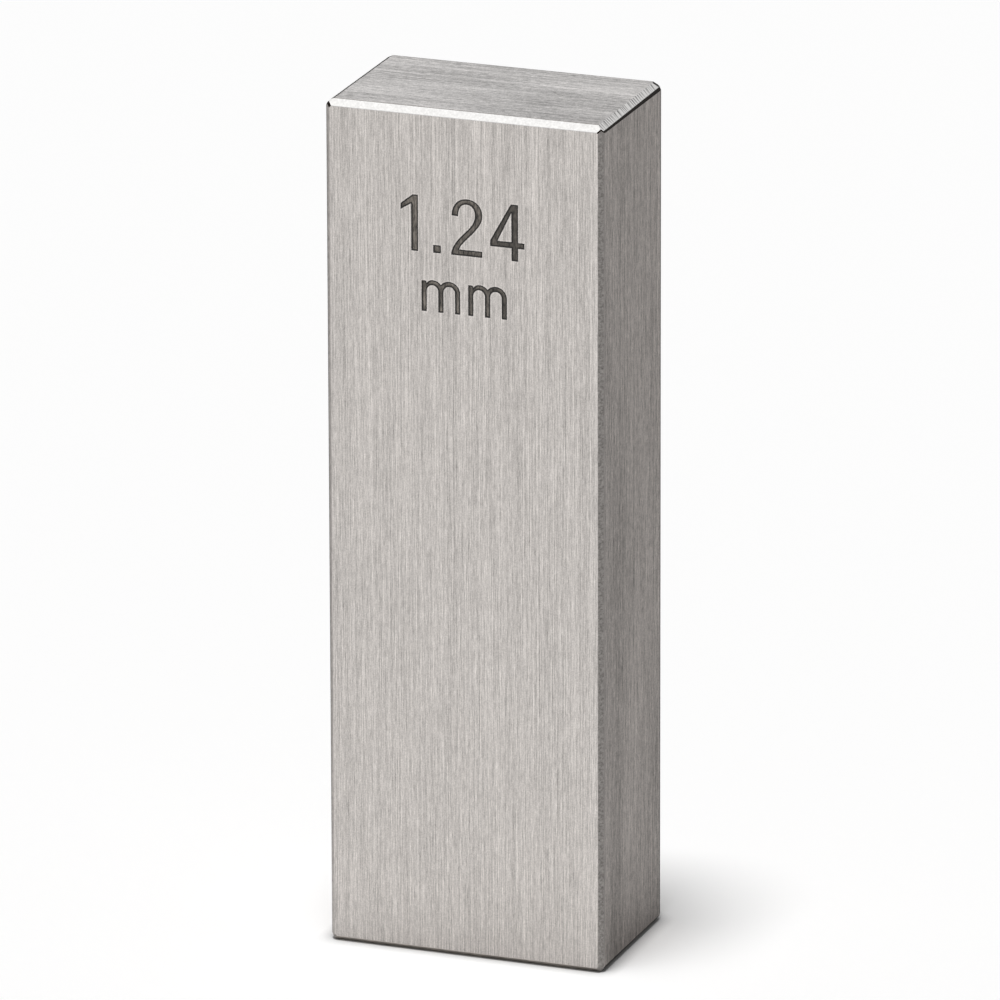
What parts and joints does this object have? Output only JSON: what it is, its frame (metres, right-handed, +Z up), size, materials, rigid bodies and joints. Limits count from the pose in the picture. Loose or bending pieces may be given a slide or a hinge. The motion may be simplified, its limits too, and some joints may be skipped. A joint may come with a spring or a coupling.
{
  "type": "gauge block",
  "caption": "Rectangular steel gauge block standing on its end, with lapped measuring faces, broken edges and an engraved size.",
  "frame": {"origin": "middle of the end face that the block stands on", "axes": "+Z up the long side of the measuring faces, +X across them, -Y out of the marked measuring face"},
  "size_m": [0.01, 0.006, 0.03],
  "materials": {
    "lapped_steel": "hardened tool steel, fine lapped and ground grain along the long side"
  },
  "bodies": {
    "root": {"gauge_block": "lapped_steel"}
  },
  "joints": []
}
